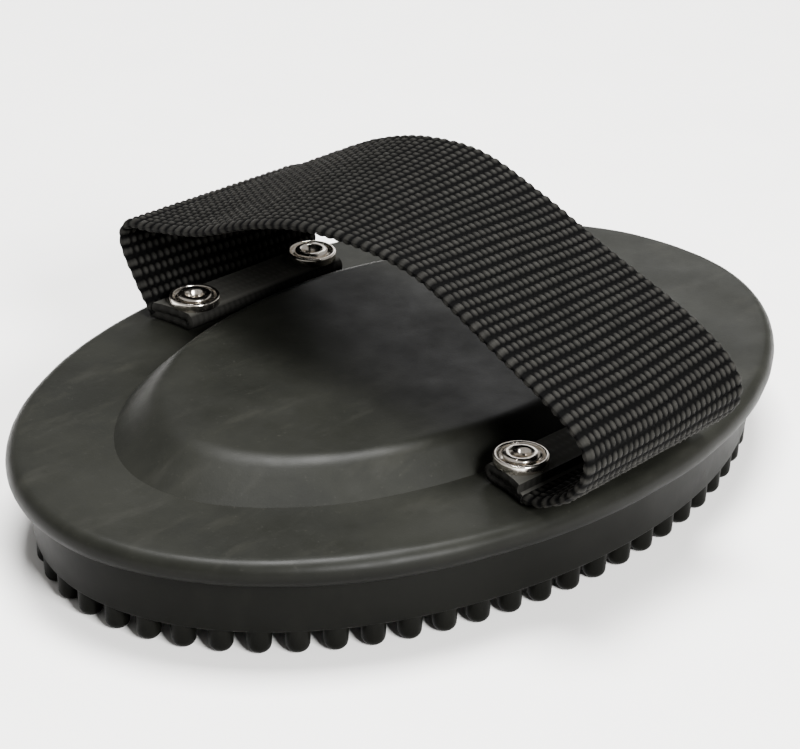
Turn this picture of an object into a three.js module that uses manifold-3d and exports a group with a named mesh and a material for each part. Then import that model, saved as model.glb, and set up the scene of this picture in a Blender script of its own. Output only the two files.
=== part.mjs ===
// Oval rubber curry brush: a rubber body with pegs underneath and a webbing hand strap riveted over its back.
// Millimetres, +Z up. X runs along the oval's long axis, the strap crosses along Y, and the pegs stand on Z = 0.

import * as THREE from 'three';
import { mergeVertices } from 'three/addons/utils/BufferGeometryUtils.js';
import Module from 'manifold-3d';

const wasm = await Module();
wasm.setup();

// ---- Driving dimensions ----

const HALF_LENGTH = 84;
const HALF_WIDTH = 58.5;
const OVAL_STEPS = 64;
const GAP = 0.3; // air between two pieces that touch

const PEG_HEIGHT = 5;
const PEG_RADIUS = 2.25;
const PEG_PITCH = 6.5; // round the skirt
const INNER_PEG_PITCH = 9; // round the two inner ribs
const PEG_ROOT = 1; // how far a peg's top sinks into the rib above it

const PLATE_TOP = 21;
const PLATE_UNDERSIDE = 15.5;
const BEAD_RADIUS = 2.7;
const RIB_THICKNESS = 4.8; // wide enough for a whole peg to stand on
const RIB_INSETS = [6.8, 21, 35]; // from the oval's edge in to the middle of the skirt and of two inner ribs
const DRAFT = 0.2;

const BOSS_FOOT_INSET = 20.5;
const BOSS_TOP_INSET = 24.8;
const BOSS_HEIGHT = 6;

const STRAP_WIDTH = 44;
const WEBBING = 1.8;
const TAB_END = 38.5; // how near the middle each end of the strap reaches
const HEM_LENGTH = 11;

const RIVET_X = 15.5;
const RIVET_Y = 44;
const SHANK_RADIUS = 1.9;
const HOLE_RADIUS = SHANK_RADIUS + GAP;
const CUP_RADIUS = 5;
const BACKING_RADIUS = 3.5;
const BACKING_THICKNESS = 0.9;
const ROUND_STEPS = 16;

// ---- Heights that follow from them ----

const STRAP_BASE = PLATE_TOP + GAP;
const STRAP_LOW = STRAP_BASE + WEBBING / 2; // middle of the webbing where it lies on the plate
const TAB_TOP = STRAP_BASE + 2 * WEBBING;
const CUP_BASE = TAB_TOP + GAP;
const BACKING_TOP = PLATE_UNDERSIDE - GAP;
const HEAD_TOP = BACKING_TOP - BACKING_THICKNESS - GAP;

// ---- Materials ----

const rubber = new THREE.MeshStandardMaterial({ color: 0x2b2c2a, roughness: 0.62, metalness: 0 });
const webbing = new THREE.MeshStandardMaterial({ color: 0x141414, roughness: 0.85, metalness: 0 });
const nickel = new THREE.MeshStandardMaterial({ color: 0xc9c4ba, roughness: 0.25, metalness: 1 });

// ---- Helpers ----

function solid(geometry) {
  const bare = geometry.clone();
  bare.deleteAttribute('normal');
  bare.deleteAttribute('uv');
  const merged = mergeVertices(bare, 1e-4);
  return new wasm.Manifold(new wasm.Mesh({
    numProp: 3,
    vertProperties: new Float32Array(merged.attributes.position.array),
    triVerts: new Uint32Array(merged.index.array),
  }));
}

function geometryOf(manifold) {
  const mesh = manifold.getMesh();
  const geometry = new THREE.BufferGeometry();
  geometry.setAttribute('position', new THREE.BufferAttribute(mesh.vertProperties, 3));
  geometry.setIndex(new THREE.BufferAttribute(mesh.triVerts, 1));
  geometry.computeVertexNormals();
  return geometry;
}

// A turned solid about Z, from [radius, height] pairs that run from the axis round to the axis or close.
function turned(profile, steps = ROUND_STEPS) {
  const points = profile.map(([radius, height]) => new THREE.Vector2(radius, height));
  return new THREE.LatheGeometry(points, steps).rotateX(Math.PI / 2);
}

// The point at an angle of the smaller oval whose half axes are shorter by an inset.
function ovalPoint(angle, inset) {
  const x = (HALF_LENGTH - inset) * Math.cos(angle);
  const y = (HALF_WIDTH - inset) * Math.sin(angle);
  return new THREE.Vector2(x, y);
}

// A turned solid whose circles become ovals: the profile is [inset, height] pairs, and null is the axis.
function ovalSolid(profile) {
  const points = profile.map(([inset, height]) => new THREE.Vector2(inset === null ? 0 : 1, height));
  const geometry = new THREE.LatheGeometry(points, OVAL_STEPS);
  const position = geometry.attributes.position;
  for (let step = 0; step <= OVAL_STEPS; step += 1) {
    const angle = (2 * Math.PI * (step % OVAL_STEPS)) / OVAL_STEPS;
    profile.forEach(([inset, height], row) => {
      const place = inset === null ? new THREE.Vector2() : ovalPoint(angle, inset);
      position.setXYZ(step * profile.length + row, place.x, place.y, height);
    });
  }
  return geometry;
}

// Evenly spaced points round the oval at an inset.
function ovalRing(inset, pitch) {
  const outline = [];
  for (let step = 0; step < OVAL_STEPS; step += 1) {
    const place = ovalPoint((2 * Math.PI * step) / OVAL_STEPS, inset);
    outline.push(new THREE.Vector3(place.x, place.y, 0));
  }
  const curve = new THREE.CatmullRomCurve3(outline, true);
  const count = 2 * Math.round(curve.getLength() / pitch / 2);
  return curve.getSpacedPoints(count).slice(0, count);
}

function rivetPlaces() {
  const places = [];
  for (const side of [-1, 1]) {
    for (const end of [-1, 1]) {
      places.push(new THREE.Vector2(side * RIVET_X, end * RIVET_Y));
    }
  }
  return places;
}

function withRivetHoles(body) {
  const drill = turned([[0, 0], [HOLE_RADIUS, 0], [HOLE_RADIUS, 1], [0, 1]]).scale(1, 1, PLATE_TOP);
  let result = body;
  for (const place of rivetPlaces()) {
    const cutter = drill.clone().translate(place.x, place.y, PLATE_UNDERSIDE - PEG_HEIGHT);
    result = result.subtract(solid(cutter));
  }
  return result;
}

// ---- Rubber body ----

// One rib under the plate, as the part of the profile that runs from its inner foot to its outer foot.
function ribProfile(inset) {
  const half = RIB_THICKNESS / 2;
  return [
    [inset + half + DRAFT, PLATE_UNDERSIDE],
    [inset + half, PEG_HEIGHT],
    [inset - half, PEG_HEIGHT],
    [inset - half - DRAFT, PLATE_UNDERSIDE],
  ];
}

function beadProfile() {
  const steps = 6;
  const points = [];
  for (let step = 0; step <= steps; step += 1) {
    const angle = -Math.PI / 2 + (Math.PI * step) / steps;
    const inset = BEAD_RADIUS - BEAD_RADIUS * Math.cos(angle);
    points.push([inset, PLATE_TOP - BEAD_RADIUS + BEAD_RADIUS * Math.sin(angle)]);
  }
  return points;
}

function bossProfile() {
  const round = 1.2;
  const top = PLATE_TOP + BOSS_HEIGHT;
  return [
    [BOSS_FOOT_INSET, PLATE_TOP],
    [BOSS_FOOT_INSET + round, PLATE_TOP + round / 2],
    [BOSS_TOP_INSET - round, top - round / 2],
    [BOSS_TOP_INSET + round / 2, top],
  ];
}

function pegSolid(steps) {
  const tip = PEG_RADIUS * 0.55;
  const shoulder = PEG_RADIUS * 0.6;
  const top = PEG_HEIGHT + PEG_ROOT;
  return turned([[0, 0], [tip, 0], [PEG_RADIUS, shoulder], [PEG_RADIUS, top], [0, top]], steps);
}

function rubberBody() {
  const [skirtRib, middleRib, innerRib] = RIB_INSETS;
  const skirt = ribProfile(skirtRib).slice(0, 3);
  const skirtTop = skirtRib - RIB_THICKNESS / 2 - DRAFT;
  const profile = [
    [null, PLATE_UNDERSIDE],
    ...ribProfile(innerRib),
    ...ribProfile(middleRib),
    ...skirt,
    [skirtTop, PLATE_TOP - 2 * BEAD_RADIUS],
    ...beadProfile(),
    ...bossProfile(),
    [null, PLATE_TOP + BOSS_HEIGHT],
  ];
  let body = solid(ovalSolid(profile));
  for (const inset of RIB_INSETS) {
    const outer = inset === skirtRib;
    const peg = pegSolid(outer ? 8 : 6);
    for (const place of ovalRing(inset, outer ? PEG_PITCH : INNER_PEG_PITCH)) {
      body = body.add(solid(peg.clone().translate(place.x, place.y, 0)));
    }
  }
  return geometryOf(withRivetHoles(body));
}

// ---- Hand strap ----

// The webbing's route across the brush, from its right end under the fold, over the arch, to its left end.
function strapRoute() {
  const route = new THREE.Path();
  route.moveTo(-TAB_END, STRAP_LOW);
  route.lineTo(-TAB_END - HEM_LENGTH, STRAP_LOW);
  route.bezierCurveTo(-54, STRAP_LOW + 1, -59.5, 27.5, -59.1, 32);
  route.bezierCurveTo(-58.8, 36.5, -54, 38.8, -46, 42.6);
  route.splineThru([
    new THREE.Vector2(-27, 50.6),
    new THREE.Vector2(-12, 55.7),
    new THREE.Vector2(2, 57.2),
    new THREE.Vector2(14, 55.8),
    new THREE.Vector2(24, 51.8),
    new THREE.Vector2(36, 46.4),
    new THREE.Vector2(49, 42.2),
  ]);
  route.bezierCurveTo(53.2, 41, 55, 40.4, 55.2, 37);
  route.bezierCurveTo(55.4, 31.5, 53.8, STRAP_LOW, TAB_END + HEM_LENGTH - 0.3, STRAP_LOW);
  route.lineTo(TAB_END, STRAP_LOW);
  return route;
}

// The route thickened into the outline of the webbing's long section.
function strapSection() {
  const route = strapRoute();
  const count = 60;
  const upper = [];
  const lower = [];
  for (let step = 0; step <= count; step += 1) {
    const place = route.getPointAt(step / count);
    const along = route.getTangentAt(step / count);
    const across = new THREE.Vector2(-along.y, along.x).multiplyScalar(WEBBING / 2);
    upper.push(place.clone().sub(across));
    lower.push(place.clone().add(across));
  }
  return new THREE.Shape([...upper, ...lower.reverse()]);
}

// Extrudes a section drawn in Y and Z across the strap's width.
function acrossWidth(section) {
  const geometry = new THREE.ExtrudeGeometry(section, { depth: STRAP_WIDTH, bevelEnabled: false });
  const toYZ = new THREE.Matrix4().makeBasis(
    new THREE.Vector3(0, 1, 0),
    new THREE.Vector3(0, 0, 1),
    new THREE.Vector3(1, 0, 0),
  );
  return geometry.applyMatrix4(toYZ).translate(-STRAP_WIDTH / 2, 0, 0);
}

// The doubled end of the webbing, where it is turned back on itself.
function hemSection(side) {
  const round = WEBBING * 0.8;
  const near = TAB_END - round;
  const far = TAB_END + HEM_LENGTH;
  const hem = new THREE.Shape();
  hem.moveTo(side * far, STRAP_BASE);
  hem.lineTo(side * far, TAB_TOP);
  hem.lineTo(side * (near + round), TAB_TOP);
  hem.quadraticCurveTo(side * near, TAB_TOP, side * near, STRAP_BASE + WEBBING);
  hem.quadraticCurveTo(side * near, STRAP_BASE, side * (near + round), STRAP_BASE);
  return hem;
}

function handStrap() {
  let strap = solid(acrossWidth(strapSection()));
  for (const side of [-1, 1]) {
    strap = strap.add(solid(acrossWidth(hemSection(side))));
  }
  return geometryOf(withRivetHoles(strap));
}

// ---- Rivets and washers ----

// A tubular rivet: flat head under the plate, hollow end rolled outwards on top of the strap.
function tubularRivet() {
  const collar = CUP_BASE + 0.8;
  return turned([
    [0, HEAD_TOP - 1.1],
    [2.4, HEAD_TOP - 1.1],
    [2.9, HEAD_TOP - 0.6],
    [2.9, HEAD_TOP],
    [SHANK_RADIUS, HEAD_TOP],
    [SHANK_RADIUS, collar],
    [3.3, collar],
    [3.6, collar + 0.5],
    [3.2, collar + 1],
    [2.3, collar + 1.1],
    [1.5, collar + 0.6],
    [1.2, collar - 0.4],
    [1.2, collar - 4],
    [0, collar - 4],
  ]);
}

// A dished washer with a raised round rim, under the rivet's rolled end.
function cupWasher() {
  return turned([
    [HOLE_RADIUS, CUP_BASE],
    [CUP_RADIUS - 0.3, CUP_BASE],
    [CUP_RADIUS, CUP_BASE + 0.5],
    [CUP_RADIUS - 0.25, CUP_BASE + 1.1],
    [CUP_RADIUS - 0.75, CUP_BASE + 1.1],
    [3.9, CUP_BASE + 0.5],
    [HOLE_RADIUS, CUP_BASE + 0.5],
    [HOLE_RADIUS, CUP_BASE],
  ]);
}

function backingWasher() {
  const bottom = BACKING_TOP - BACKING_THICKNESS;
  return turned([
    [HOLE_RADIUS, bottom],
    [BACKING_RADIUS, bottom],
    [BACKING_RADIUS, BACKING_TOP],
    [HOLE_RADIUS, BACKING_TOP],
    [HOLE_RADIUS, bottom],
  ]);
}

// ---- Scene graph ----

function named(name, geometry, material) {
  const mesh = new THREE.Mesh(geometry, material);
  mesh.name = name;
  return mesh;
}

const brush = new THREE.Group();
brush.add(named('rubber_body', rubberBody(), rubber));
brush.add(named('hand_strap', handStrap(), webbing));

rivetPlaces().forEach((place, index) => {
  const fastener = new THREE.Group();
  fastener.position.set(place.x, place.y, 0);
  fastener.add(named(`rivet_${index + 1}`, tubularRivet(), nickel));
  fastener.add(named(`cup_washer_${index + 1}`, cupWasher(), nickel));
  fastener.add(named(`backing_washer_${index + 1}`, backingWasher(), nickel));
  brush.add(fastener);
});

export default brush;
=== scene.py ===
"""A rubber curry brush: an oval rubber body on round pegs, with a webbing strap riveted over its back."""

import math

import bmesh
import bpy
import numpy as np
from mathutils import Matrix, Vector, noise


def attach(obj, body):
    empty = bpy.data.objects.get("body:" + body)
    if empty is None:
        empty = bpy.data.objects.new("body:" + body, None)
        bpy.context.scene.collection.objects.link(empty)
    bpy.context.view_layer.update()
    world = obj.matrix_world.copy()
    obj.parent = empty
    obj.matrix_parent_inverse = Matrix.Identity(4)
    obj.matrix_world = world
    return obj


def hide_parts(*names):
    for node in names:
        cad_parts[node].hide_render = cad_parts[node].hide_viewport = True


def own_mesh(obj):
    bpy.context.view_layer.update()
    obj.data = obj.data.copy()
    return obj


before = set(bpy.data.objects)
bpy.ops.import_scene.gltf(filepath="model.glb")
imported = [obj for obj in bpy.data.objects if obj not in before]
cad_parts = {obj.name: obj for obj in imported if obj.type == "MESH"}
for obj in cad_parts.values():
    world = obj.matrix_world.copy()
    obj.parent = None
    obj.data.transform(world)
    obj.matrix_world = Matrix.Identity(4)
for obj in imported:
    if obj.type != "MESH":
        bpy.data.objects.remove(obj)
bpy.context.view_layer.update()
MM = 0.001

# Sizes that the pieces share, in millimetres, in the CAD frame.
HALF_LENGTH = 84.0
HALF_WIDTH = 58.5
PLATE_TOP = 21.0
PLATE_UNDERSIDE = 15.5
BEAD_RADIUS = 2.7
BEAD_HEIGHT = PLATE_TOP - BEAD_RADIUS
BOSS_TOP = PLATE_TOP + 6.0
BOSS_FOOT_INSET = 19.8
BOSS_TOP_INSET = 24.9
BOSS_ROUNDING = 4.0
BOSS_CROWN = 0.35
BOSS_END_SLOPE = 4.0
PEG_HEIGHT = 5.0
PEG_RADIUS = 2.25
PEG_TAPER = 0.05
PEG_ROOT = 1.0
RIB_HALF = 2.4
RIB_INSETS = (6.8, 21.0, 35.0)
PEG_PITCHES = (6.5, 9.0, 9.0)
STRAP_HALF = 22.0
WEBBING = 1.8
RIVET_X = 15.5
RIVET_Y = 44.0
PLATE_BORE = 2.2
HEM_BORE = 2.1
STRAP_BASE = 22.2
TAB_TOP = 24.9
HEM_TURN = 41.2

# How finely the rubber body is meshed: rings within the boss's top and the underside, steps round the bead.
TOP_RINGS = 24
LOW_RINGS = 12
BEAD_STEPS = 16


# ---------------------------------------------------------------- meshes

def new_piece(name, vertices, faces, material):
    """A mesh object from points in millimetres."""
    mesh = bpy.data.meshes.new(name)
    mesh.from_pydata([Vector(p) * MM for p in vertices], [], faces)
    mesh.validate()
    piece = bpy.data.objects.new(name, mesh)
    bpy.context.scene.collection.objects.link(piece)
    outward(piece)
    piece.data.materials.append(material)
    return piece


def outward(piece, sharp=40):
    """Turns the faces outward and smooths them, except across edges of more than sharp degrees."""
    work = bmesh.new()
    work.from_mesh(piece.data)
    bmesh.ops.recalc_face_normals(work, faces=work.faces)
    for face in work.faces:
        face.smooth = True
    for edge in work.edges:
        edge.smooth = len(edge.link_faces) < 2 or edge.calc_face_angle(0) < math.radians(sharp)
    work.to_mesh(piece.data)
    work.free()


def circle(centre, radius, height, steps):
    """Evenly spaced points on a level circle."""
    turns = [2 * math.pi * i / steps for i in range(steps)]
    x, y = centre
    return [(x + radius * math.cos(turn), y + radius * math.sin(turn), height) for turn in turns]


def tube_faces(rings, count):
    """Quads between closed rings of count points each."""
    faces = []
    for ring in range(rings - 1):
        for i in range(count):
            j = (i + 1) % count
            a = ring * count
            faces.append((a + i, a + j, a + count + j, a + count + i))
    return faces


def lathe(profile, centre, steps=72):
    """Points and faces of a closed profile of (radius, height) turned about a vertical axis."""
    vertices = []
    for radius, height in profile:
        vertices += circle(centre, radius, height, steps)
    faces = tube_faces(len(profile), steps)
    last = (len(profile) - 1) * steps
    for i in range(steps):
        j = (i + 1) % steps
        faces.append((last + i, last + j, j, i))
    return vertices, faces


def rounded(corners, steps=7):
    """A line through corners of (across, height, radius), with an arc of that radius at each."""
    line = []
    for i, (across, height, radius) in enumerate(corners):
        here = Vector((across, height))
        if radius == 0:
            line.append(here)
            continue
        back = (Vector(corners[i - 1][:2]) - here).normalized()
        ahead = (Vector(corners[(i + 1) % len(corners)][:2]) - here).normalized()
        half = back.angle(ahead) / 2
        reach = radius / math.tan(half)
        centre = here + (back + ahead).normalized() * radius / math.sin(half)
        start = here + back * reach - centre
        end = here + ahead * reach - centre
        sweep = start.angle_signed(end)
        for k in range(steps + 1):
            turn = -sweep * k / steps
            cos, sin = math.cos(turn), math.sin(turn)
            line.append(centre + Vector((start.x * cos - start.y * sin, start.x * sin + start.y * cos)))
    return line


def spaced(line, step):
    """The line with points added so that none are further apart than step."""
    points = [line[0]]
    for a, b in zip(line, line[1:]):
        parts = max(1, math.ceil((b - a).length / step))
        points += [a.lerp(b, k / parts) for k in range(1, parts + 1)]
    return points


def bores(places, radius, low, material):
    """Closed upright cylinders from low to well above the hems, to cut with."""
    high = 30
    profile = [(0.001, high), (radius, high), (radius, low), (0.001, low)]
    return joined([lathe(profile, place, 32) for place in places], "bores", material)


def boolean(piece, tool, operation):
    """Joins the closed mesh tool to piece, or cuts it away."""
    modifier = piece.modifiers.new("boolean", "BOOLEAN")
    modifier.object = tool
    modifier.operation = operation
    modifier.solver = "MANIFOLD"
    graph = bpy.context.evaluated_depsgraph_get()
    mesh = bpy.data.meshes.new_from_object(piece.evaluated_get(graph))
    piece.modifiers.clear()
    piece.data = mesh
    bpy.data.objects.remove(tool)


def joined(shapes, name, material):
    """One mesh object from several (vertices, faces)."""
    vertices, faces = [], []
    for points, polygons in shapes:
        first = len(vertices)
        vertices += points
        faces += [tuple(first + i for i in polygon) for polygon in polygons]
    return new_piece(name, vertices, faces, material)


# ---------------------------------------------------------------- materials

class Nodes:
    """A small helper that adds shader nodes and links them."""

    def __init__(self, name):
        self.material = bpy.data.materials.new(name)
        self.material.use_nodes = True
        self.tree = self.material.node_tree
        self.shader = self.tree.nodes["Principled BSDF"]
        self.place = self.add("ShaderNodeTexCoord").outputs["Object"]

    def add(self, kind, **values):
        node = self.tree.nodes.new(kind)
        for key, value in values.items():
            if hasattr(node, key):
                setattr(node, key, value)
            else:
                node.inputs[key.replace("_", " ")].default_value = value
        return node

    def link(self, source, target):
        self.tree.links.new(source, target)

    def noise(self, scale, detail=3.0, roughness=0.5, stretch=None):
        """Noise whose scale is in features per metre."""
        node = self.add("ShaderNodeTexNoise", Scale=scale, Detail=detail, Roughness=roughness)
        source = self.place
        if stretch:
            mapping = self.add("ShaderNodeMapping")
            mapping.inputs["Scale"].default_value = stretch
            mapping.inputs["Rotation"].default_value = (0, 0, 0.6)
            self.link(source, mapping.inputs["Vector"])
            source = mapping.outputs["Vector"]
        self.link(source, node.inputs["Vector"])
        return node.outputs["Fac"]

    def ramp(self, source, low, high, start, end):
        """Maps source from low..high to start..end."""
        node = self.add("ShaderNodeMapRange")
        for socket, value in zip(("From Min", "From Max", "To Min", "To Max"), (low, high, start, end)):
            node.inputs[socket].default_value = value
        self.link(source, node.inputs["Value"])
        return node.outputs["Result"]

    def mix(self, factor, first, second):
        """A colour between two colours or sockets."""
        node = self.add("ShaderNodeMix", data_type="RGBA")
        for socket, value in ((0, factor), (6, first), (7, second)):
            if isinstance(value, bpy.types.NodeSocket):
                self.link(value, node.inputs[socket])
            else:
                node.inputs[socket].default_value = value if socket == 0 else (*value, 1)
        return node.outputs[2]

    def bump(self, source, distance, strength=1.0, before=None):
        """A bump of that depth in metres."""
        node = self.add("ShaderNodeBump", Strength=strength, Distance=distance)
        self.link(source, node.inputs["Height"])
        if before:
            self.link(before, node.inputs["Normal"])
        return node.outputs["Normal"]

    def colour(self, source):
        self.link(source, self.shader.inputs["Base Color"])

    def rough(self, source):
        self.link(source, self.shader.inputs["Roughness"])

    def normal(self, source):
        self.link(source, self.shader.inputs["Normal"])


def rubber_material():
    """Dull black rubber, with cloudy wear and dust on top, and painted shade from the bead down: darker
    there, and less shiny.
    """
    n = Nodes("moulded_rubber")
    cloud = n.noise(38, detail=5, roughness=0.62)
    smear = n.noise(60, detail=4, roughness=0.6, stretch=(1, 3.2, 1))
    dust = n.noise(1500, detail=2)
    base = n.mix(n.ramp(cloud, 0.35, 0.7, 0, 1), (0.0056, 0.0058, 0.0046), (0.0100, 0.0102, 0.0082))
    base = n.mix(n.ramp(smear, 0.55, 0.75, 0, 0.4), base, (0.018, 0.0178, 0.0146))
    base = n.mix(n.ramp(dust, 0.66, 0.8, 0, 0.25), base, (0.036, 0.035, 0.030))
    # From the bead down the colour is painted darker and the shine turned down: painted shade on the bead's
    # lower half and the skirt.
    height = n.add("ShaderNodeSeparateXYZ")
    n.link(n.place, height.inputs[0])
    low = n.ramp(height.outputs["Z"], 0.0176, 0.0206, 1, 0)
    base = n.mix(n.ramp(low, 0, 1, 0, 0.8), base, (0.0012, 0.0012, 0.0010))
    n.link(n.ramp(low, 0, 1, 0.09, 0.035), n.shader.inputs["Specular IOR Level"])
    n.colour(base)
    n.rough(n.ramp(n.noise(90, detail=5, roughness=0.65), 0.3, 0.7, 0.34, 0.48))
    fine = n.bump(n.noise(2600, detail=3, roughness=0.6), 0.00002, 0.6)
    n.normal(n.bump(n.noise(140, detail=4), 0.00012, 0.5, fine))
    return n.material


def webbing_material(name, top, groove, painted_top_light=None):
    """Black nylon. The mesh's own weave value, 1 on the yarns and 0 between them, sets its colour: painted
    shade in the grooves and a painted sheen on the yarn tops.

    The last argument is the colour of the faces that look up, if they differ: painted light on those tops."""
    n = Nodes(name)
    height = n.add("ShaderNodeAttribute", attribute_name="weave").outputs["Fac"]
    # Painted shade in the grooves between the yarns, and a painted sheen on the yarn tops.
    cloth = n.mix(n.ramp(height, 0.28, 0.75, 0, 1), groove, top)
    cloth = n.mix(n.ramp(n.noise(300, detail=3), 0.4, 0.7, 0, 0.3), cloth, groove)
    # Faces that look up are painted lighter: painted light on the hem tops.
    if painted_top_light:
        facing = n.add("ShaderNodeSeparateXYZ")
        n.link(n.add("ShaderNodeNewGeometry").outputs["Normal"], facing.inputs[0])
        cloth = n.mix(n.ramp(facing.outputs["Z"], 0.7, 0.95, 0, 1), cloth, painted_top_light)
    n.colour(cloth)
    n.rough(n.ramp(height, 0.2, 1.0, 0.8, 0.45))
    fibre = n.noise(5200, detail=2, roughness=0.7, stretch=(2.5, 0.6, 1))
    n.normal(n.bump(fibre, 0.00005, 0.7))
    n.shader.inputs["Specular IOR Level"].default_value = 0.035
    return n.material


def metal_material(name, colour, dark, low, high):
    n = Nodes(name)
    stain = n.noise(700, detail=4, roughness=0.6)
    n.colour(n.mix(n.ramp(stain, 0.45, 0.75, 0, 0.5), colour, dark))
    n.rough(n.ramp(n.noise(900, detail=4), 0.3, 0.7, low, high))
    n.normal(n.bump(n.noise(2500, detail=3, stretch=(1, 5, 1)), 0.00002, 0.4))
    n.shader.inputs["Metallic"].default_value = 1.0
    return n.material


# ---------------------------------------------------------------- rubber body

def oval(inset, count, shorter=0.0):
    """Points on the oval inset millimetres inside the body's outline, and shorter at both ends."""
    long, wide = HALF_LENGTH - inset - shorter, HALF_WIDTH - inset
    turns = np.linspace(0, 2 * math.pi, count, endpoint=False)
    return [(long * math.cos(turn), wide * math.sin(turn)) for turn in turns]


def end_slope(height):
    """How much shorter the oval is at that height, since the boss's slope is gentler at its two ends."""
    return BOSS_END_SLOPE * min(1.0, max(0.0, (height - PLATE_TOP) / (BOSS_TOP - PLATE_TOP)))


def peg_places(inset, pitch):
    """Evenly spaced points along the oval, an even number of them."""
    line = oval(inset, 2880)
    line = np.array(line + line[:1])
    reach = np.concatenate([[0], np.cumsum(np.linalg.norm(np.diff(line, axis=0), axis=1))])
    count = 2 * round(reach[-1] / pitch / 2)
    at = np.arange(count) * reach[-1] / count
    return list(zip(np.interp(at, reach, line[:, 0]), np.interp(at, reach, line[:, 1])))


def peg(place):
    """A round peg with a domed tip, its root inside the rib above it."""
    wide, narrow = PEG_RADIUS + PEG_TAPER, PEG_RADIUS - PEG_TAPER
    dome, steps = 2.0, 24
    profile = [(wide, PEG_HEIGHT + PEG_ROOT), (wide, PEG_HEIGHT), (narrow, dome + 0.3)]
    for k in range(1, 9):
        turn = math.pi / 2 * k / 9
        profile.append((narrow * math.cos(turn), dome - dome * math.sin(turn) ** 0.9))
    vertices = []
    for radius, height in profile:
        vertices += circle(place, radius, height, steps)
    faces = tube_faces(len(profile), steps)
    tip = len(vertices)
    vertices += [(*place, 0.0), (*place, PEG_HEIGHT + PEG_ROOT)]
    last = (len(profile) - 1) * steps
    for i in range(steps):
        j = (i + 1) % steps
        faces.append((last + i, last + j, tip))
        faces.append((j, i, tip + 1))
    return vertices, faces


def rubber_body(material):
    """The moulding: rings of points from the boss's middle over the rim to the underside, and the pegs."""
    count = 320
    line = rounded([
        (28.5, BOSS_TOP, 0),
        (BOSS_TOP_INSET, BOSS_TOP, BOSS_ROUNDING),
        (BOSS_FOOT_INSET, PLATE_TOP, 0),
        (4.0, PLATE_TOP, 0),
    ])
    for k in range(1, BEAD_STEPS + 1):
        turn = math.pi * k / BEAD_STEPS
        across = BEAD_RADIUS - BEAD_RADIUS * math.sin(turn)
        line.append(Vector((across, BEAD_HEIGHT + BEAD_RADIUS * math.cos(turn))))
    under = [(BEAD_RADIUS, BEAD_HEIGHT - BEAD_RADIUS, 0), (4.2, BEAD_HEIGHT - BEAD_RADIUS, 0.7)]
    foot = []
    for inset in RIB_INSETS:
        outer, inner = inset - RIB_HALF, inset + RIB_HALF
        if foot:
            foot.append((outer, PLATE_UNDERSIDE, 1.2))
        foot += [(outer, PEG_HEIGHT, 0.5), (inner, PEG_HEIGHT, 0.5), (inner, PLATE_UNDERSIDE, 1.2)]
    line += rounded(under + foot + [(RIB_INSETS[-1] + 6, PLATE_UNDERSIDE, 0)])[1:]
    line = spaced(line, 1.6)
    rings = []
    top = oval(line[0].x, count, end_slope(line[0].y))
    for k in range(1, TOP_RINGS):
        share = k / TOP_RINGS
        height = line[0].y + BOSS_CROWN * (1 - share * share)
        rings.append([(x * share, y * share, height) for x, y in top])
    for inset, height in line:
        rings.append([(x, y, height) for x, y in oval(inset, count, end_slope(height))])
    low = oval(line[-1].x, count)
    for k in range(LOW_RINGS - 1, 0, -1):
        share = k / LOW_RINGS
        rings.append([(x * share, y * share, line[-1].y) for x, y in low])
    vertices = [point for ring in rings for point in ring]
    faces = tube_faces(len(rings), count)
    pole = len(vertices)
    vertices += [(0, 0, line[0].y + BOSS_CROWN), (0, 0, line[-1].y)]
    last = (len(rings) - 1) * count
    for i in range(count):
        j = (i + 1) % count
        faces.append((j, i, pole))
        faces.append((last + i, last + j, pole + 1))
    body = new_piece("brush_rubber", vertices, faces, material)
    moulding_waves(body)
    pegs = []
    for inset, pitch in zip(RIB_INSETS, PEG_PITCHES):
        pegs += [peg(place) for place in peg_places(inset, pitch)]
    boolean(body, joined(pegs, "pegs", material), "UNION")
    boolean(body, bores(rivet_places(), PLATE_BORE, 12, material), "DIFFERENCE")
    outward(body, 28)
    return body


def moulding_waves(body):
    """Moves the surface by up to about a quarter of a millimetre, as soft rubber is never quite true."""
    count = len(body.data.vertices)
    points = np.zeros(count * 3, np.float32)
    normals = np.zeros(count * 3, np.float32)
    body.data.vertices.foreach_get("co", points)
    body.data.vertex_normals.foreach_get("vector", normals)
    points, normals = points.reshape(-1, 3), normals.reshape(-1, 3)
    for i in range(count):
        place = Vector(points[i]) / MM
        if place.z > PEG_HEIGHT + 3:
            slow = 0.28 * noise.noise(place / 26 + Vector((3.1, 0, 0)))
            quick = 0.07 * noise.noise(place / 7 + Vector((0, 9.2, 0)))
            points[i] += normals[i] * MM * (slow + quick)
    body.data.vertices.foreach_set("co", points.ravel())
    body.data.update()


# ---------------------------------------------------------------- rivets and washers

def rivet_places():
    return [(side * RIVET_X, end * RIVET_Y) for side in (-1, 1) for end in (-1, 1)]


def rivet(name, place, material):
    """A tubular rivet: head below, shank, and a rolled collar above with a blind hole."""
    collar = 25.75
    head = [(0.001, 12.9), (2.3, 12.9), (2.8, 13.1), (2.95, 13.5), (2.8, 13.9), (1.9, 14.0)]
    profile = head + [(1.9, collar)]
    for k in range(13):
        turn = math.pi * (-0.35 + 1.25 * k / 12)
        profile.append((2.55 + 0.85 * math.cos(turn), collar + 0.62 + 0.62 * math.sin(turn)))
    profile += [(1.35, collar + 0.2), (1.2, collar - 0.4), (1.15, collar - 4), (0.001, collar - 4.2)]
    vertices, faces = lathe(profile, place)
    return new_piece(name, vertices, faces, material)


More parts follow.
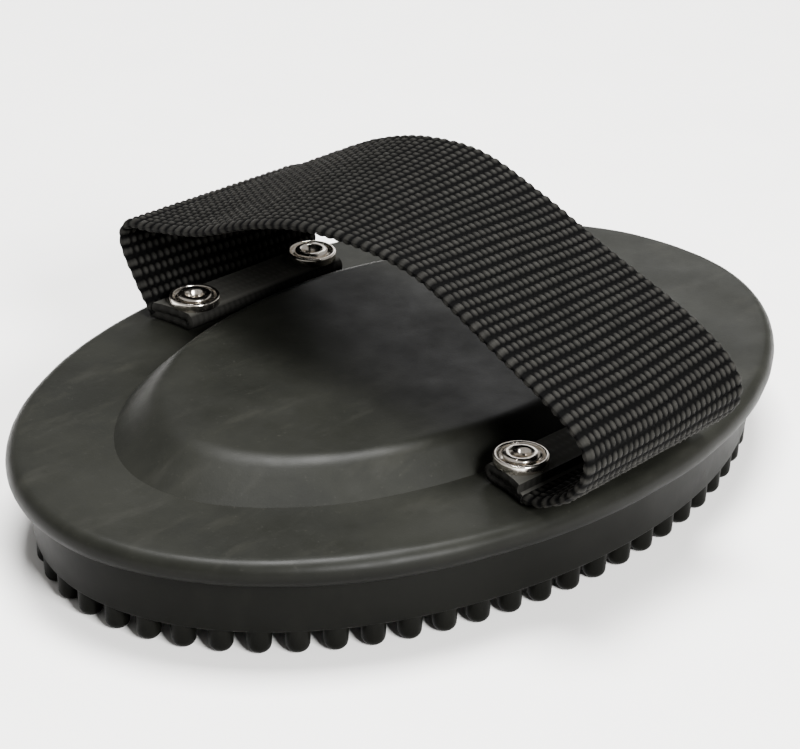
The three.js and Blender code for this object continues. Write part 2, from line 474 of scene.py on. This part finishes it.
def cup_washer(name, place, material):
    """The dished ring that the rivet's collar is rolled into."""
    base = TAB_TOP - 0.05
    profile = [(2.2, base), (4.85, base), (5.0, base + 0.2), (5.02, base + 0.9)]
    for k in range(9):
        turn = math.pi * k / 8
        profile.append((4.62 + 0.4 * math.cos(turn), base + 1.35 + 0.42 * math.sin(turn)))
    profile += [(4.0, base + 1.05), (3.7, base + 0.8), (3.3, base + 0.7), (2.2, base + 0.7)]
    vertices, faces = lathe(profile, place)
    return new_piece(name, vertices, faces, material)


def backing_washer(name, place, material):
    low, high = 14.3, 15.2
    profile = [(2.2, low + 0.1), (2.3, low), (3.4, low), (3.5, low + 0.1)]
    profile += [(3.5, high - 0.1), (3.4, high), (2.3, high), (2.2, high - 0.1)]
    vertices, faces = lathe(profile, place, 48)
    return new_piece(name, vertices, faces, material)


# ---------------------------------------------------------------- hand strap

# The middle of the webbing along each edge, as (across the brush, height), with points where it bends: left
# hem, fold, shoulder, crown, right shoulder, fold and hem. They were typed in half millimetres, close to edge
# lines that a script had traced from the photo through a fitted camera.
NEAR_EDGE = [
    (49.5, 22.2), (54, 27.5), (58.5, 34.5), (57, 39), (50, 40.5), (36, 44), (22, 50), (8, 54.5), (-8, 56.5),
    (-24, 55.5), (-42, 48.5), (-60, 40.5), (-64.5, 34.5), (-61, 27.5), (-54, 23), (-49.5, 22.2),
]
FAR_EDGE = [
    (49.5, 22.2), (50.5, 28), (51.5, 34), (56, 38.5), (51.5, 41), (43, 46), (31, 52.5), (18, 57), (3, 58.5),
    (-12, 55), (-30, 49), (-48, 43.5), (-59, 38), (-62, 32), (-57.5, 26), (-49.5, 22.2),
]
PAIR_PITCH = 4.6
COLUMN_PITCH = 1.48
YARNS = np.random.RandomState(11).uniform(0.82, 1.0, (200, 80))


def smooth_line(points, count):
    """A line of count evenly spaced points on a smooth curve through the points, and its length."""
    p = np.array(points, float)
    p = np.vstack([2 * p[0] - p[1], p, 2 * p[-1] - p[-2]])
    dense = []
    for i in range(1, len(p) - 2):
        t = np.linspace(0, 1, 40, endpoint=False)[:, None]
        a, b, c, d = p[i - 1], p[i], p[i + 1], p[i + 2]
        curve = 2 * b + (c - a) * t + (2 * a - 5 * b + 4 * c - d) * t**2 + (3 * b - a - 3 * c + d) * t**3
        dense.append(0.5 * curve)
    dense = np.vstack([*dense, p[-2:-1]])
    reach = np.concatenate([[0], np.cumsum(np.linalg.norm(np.diff(dense, axis=0), axis=1))])
    at = np.linspace(0, reach[-1], count)
    line = np.stack([np.interp(at, reach, dense[:, k]) for k in range(2)], axis=1)
    return line, reach[-1]


def weave(across, along, shift):
    """The weave's height, 0 to 1: rows of beads across the webbing, a pair's two rows closer together."""
    step = (along / PAIR_PITCH + shift) % 1.0
    closer = 0.06 * np.sin(2 * math.pi * step)
    rows = (0.5 - 0.5 * np.cos(4 * math.pi * (step - closer / 2))) ** 0.5
    beads = (0.5 + 0.5 * np.cos(2 * math.pi * (across / COLUMN_PITCH))) ** 0.9
    selvage = np.clip((STRAP_HALF - np.abs(across) - 0.7) / 0.8, 0, 1)
    beads = beads * selvage + 0.6 * (1 - selvage)
    row = (2 * along / PAIR_PITCH + 2 * shift).astype(int)
    column = (across / COLUMN_PITCH + 40.5).astype(int)
    uneven = YARNS[row, column]
    return np.clip(rows * (0.3 + 0.7 * beads) * uneven, 0, 1)


def strap_surface(near, far, length, name, material, cells, depth, edge_width, narrowing=0.0):
    """A closed ribbon of webbing between two edge lines of (across the brush, height).

    It has that many cells across, and a weave of that depth. Its thickness falls away in the outer share
    edge_width of each half. Half-way along, it is narrower by the share in narrowing."""
    count = len(near)
    u = np.linspace(-1, 1, cells + 1)
    along = np.linspace(0, length, count)[:, None]
    across = (u * STRAP_HALF)[None, :] * np.ones((count, 1))
    share = (u[None, :] + 1) / 2
    row_edge = 0.5 + 0.5 * np.cos(4 * math.pi * (along / PAIR_PITCH - 0.02))
    x = across - np.sign(across) * 0.22 * depth * row_edge * np.abs(u[None, :]) ** 12
    x = x * (1 - narrowing * np.sin(math.pi * along / length) ** 0.7)
    y = near[:, :1] * (1 - share) + far[:, :1] * share
    z = near[:, 1:] * (1 - share) + far[:, 1:] * share
    middle = np.stack([x, y, z], axis=-1)
    du = np.gradient(middle, axis=1)
    dv = np.gradient(middle, axis=0)
    normal = np.cross(du, dv)
    normal /= np.linalg.norm(normal, axis=-1, keepdims=True)
    body = WEBBING / 2 - 0.65 * depth
    inside = np.clip((np.abs(u) - 1) / edge_width + 1, 0, 1)
    edge = np.sqrt(np.clip(1 - 0.85 * inside**2, 0, 1))[None, :]
    wander = 0.25 * np.sin(across / 11.0 + along / 31.0)
    wander += 0.08 * np.sin(across / 4.1 - along / 17.0 + 1.0)
    heights = [weave(across, along + wander + 2, shift) for shift in (0.0, 0.5)]
    layers = []
    for side, h in zip((1, -1), heights):
        offset = (body * edge + depth * h * (0.25 + 0.75 * edge))[..., None]
        layers.append(middle + side * normal * offset)
    vertices = np.concatenate([layer.reshape(-1, 3) for layer in layers])
    wide = cells + 1
    below = count * wide
    faces = []
    for r in range(count - 1):
        for c in range(cells):
            a = r * wide + c
            faces.append((a, a + 1, a + wide + 1, a + wide))
            faces.append((below + a, below + a + wide, below + a + wide + 1, below + a + 1))
        for a in (r * wide, r * wide + cells):
            faces.append((a, a + wide, below + a + wide, below + a))
    for c in range(cells):
        for a in (c, (count - 1) * wide + c):
            faces.append((a, a + 1, below + a + 1, below + a))
    piece = new_piece(name, vertices.tolist(), faces, material)
    values = piece.data.attributes.new("weave", "FLOAT", "POINT")
    values.data.foreach_set("value", np.concatenate([h.ravel() for h in heights]).astype(np.float32))
    return piece


def strap_arch(material):
    count = 560
    near, near_length = smooth_line(NEAR_EDGE, count)
    far, far_length = smooth_line(FAR_EDGE, count)
    length = (near_length + far_length) / 2
    arch = strap_surface(near, far, length, "strap_webbing", material,
                         cells=150, depth=0.6, edge_width=0.045)
    return arch, length


def strap_hem(name, end, material):
    """The strap's end, folded back over itself under the rivets."""
    low, high = STRAP_BASE, TAB_TOP - WEBBING / 2
    middle, bend = (low + high) / 2, (high - low) / 2
    line = [(50.2, low), (47.0, low), (43.0, low), (HEM_TURN, low)]
    for k in range(1, 8):
        turn = math.pi * k / 8
        line.append((HEM_TURN - bend * math.sin(turn), middle - bend * math.cos(turn)))
    line += [(HEM_TURN, high), (43.0, high), (46.0, high), (49.3, high - 0.1)]
    line = [(end * y, z) for y, z in line]
    curve, length = smooth_line(line, 90)
    hem = strap_surface(curve, curve, length, name, material,
                        cells=120, depth=0.08, edge_width=0.016, narrowing=0.08)
    places = [(x, end * RIVET_Y) for x in (-RIVET_X, RIVET_X)]
    boolean(hem, bores(places, HEM_BORE, 18, material), "DIFFERENCE")
    outward(hem)
    return hem


# ---------------------------------------------------------------- the object

def build():
    rubber = rubber_material()
    # The near-black groove colour is painted shade; the lighter top colour carries a painted sheen.
    webbing = webbing_material("black_webbing", (0.0148, 0.0143, 0.0127), (0.0003, 0.0003, 0.0003))
    # The hems' webbing: its grooves are painted less dark, and its upward faces get painted light.
    pressed = webbing_material("pressed_webbing", (0.012, 0.0117, 0.0105), (0.008, 0.0078, 0.0070),
                               painted_top_light=(0.048, 0.047, 0.042))
    nickel = metal_material("nickel_plate", (0.80, 0.75, 0.68), (0.45, 0.38, 0.30), 0.12, 0.28)
    zinc = metal_material("zinc_plate", (0.50, 0.51, 0.52), (0.33, 0.33, 0.34), 0.32, 0.5)

    body = rubber_body(rubber)
    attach(body, "brush_body")
    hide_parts("rubber_body")

    makers = (("rivet", rivet, nickel, "nickel"), ("cup_washer", cup_washer, nickel, "nickel"),
              ("backing_washer", backing_washer, zinc, "zinc"))
    for i, place in enumerate(rivet_places(), 1):
        for kind, make, material, slot in makers:
            piece = make(f"fine_{kind}_{i}", place, material)
            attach(piece, "brush_body")
            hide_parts(f"{kind}_{i}")

    for name, end in (("strap_hem_left", 1), ("strap_hem_right", -1)):
        hem = strap_hem(name, end, pressed)
        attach(hem, "brush_body")

    arch, length = strap_arch(webbing)
    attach(arch, "strap")
    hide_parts("hand_strap")
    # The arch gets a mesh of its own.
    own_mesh(arch)


# ---------------------------------------------------------------- floor, light and camera

def floor():
    mesh = bpy.data.meshes.new("floor")
    size = 3.0
    corners = [(-size, -size, 0), (size, -size, 0), (size, size, 0), (-size, size, 0)]
    mesh.from_pydata(corners, [], [(0, 1, 2, 3)])
    plane = bpy.data.objects.new("floor", mesh)
    bpy.context.scene.collection.objects.link(plane)
    n = Nodes("pale_paper")
    n.colour(n.mix(n.ramp(n.noise(40), 0.3, 0.7, 0, 1), (0.86, 0.85, 0.83), (0.88, 0.87, 0.85)))
    n.shader.inputs["Roughness"].default_value = 0.7
    mesh.materials.append(n.material)


def softbox(name, place, target, size, power):
    data = bpy.data.lights.new(name, "AREA")
    data.shape = "RECTANGLE"
    data.size, data.size_y = size
    data.energy = power
    light = bpy.data.objects.new(name, data)
    light.location = place
    light.rotation_euler = (Vector(target) - Vector(place)).to_track_quat("-Z", "Y").to_euler()
    bpy.context.scene.collection.objects.link(light)


def studio():
    world = bpy.data.worlds.new("studio")
    bpy.context.scene.world = world
    world.use_nodes = True
    background = world.node_tree.nodes["Background"]
    background.inputs["Color"].default_value = (1.0, 0.99, 0.97, 1)
    background.inputs["Strength"].default_value = 0.42
    softbox("overhead", (0.1, 0.1, 1.3), (0.05, 0.05, 0), (0.6, 0.6), 66)
    softbox("front_fill", (-0.22, -1.05, 0.62), (0, 0, 0.02), (0.45, 0.35), 52)
    softbox("back_right", (0.98, 0.73, 0.59), (0.05, 0, 0.02), (0.5, 0.4), 1.6)


def camera():
    """Looks at the brush's middle from its front left, from half a metre away."""
    azimuth, elevation, roll = math.radians(-44.73), math.radians(27.15), math.radians(0.97)
    distance = 0.5002
    target = Vector((-0.00096, 0.00113, 0.020))
    level = Vector((-math.sin(azimuth), math.cos(azimuth), 0))
    view = level * math.cos(elevation) - Vector((0, 0, math.sin(elevation)))
    data = bpy.data.cameras.new("camera")
    data.sensor_fit = "HORIZONTAL"
    data.sensor_width = 36
    data.lens = 118.3
    data.clip_start = 0.01
    eye = bpy.data.objects.new("camera", data)
    turn = view.to_track_quat("-Z", "Y").to_matrix().to_4x4()
    place = Matrix.Translation(target - view * distance)
    eye.matrix_world = place @ turn @ Matrix.Rotation(roll, 4, "Z")
    bpy.context.scene.collection.objects.link(eye)
    bpy.context.scene.camera = eye


camera()
build()
floor()
studio()
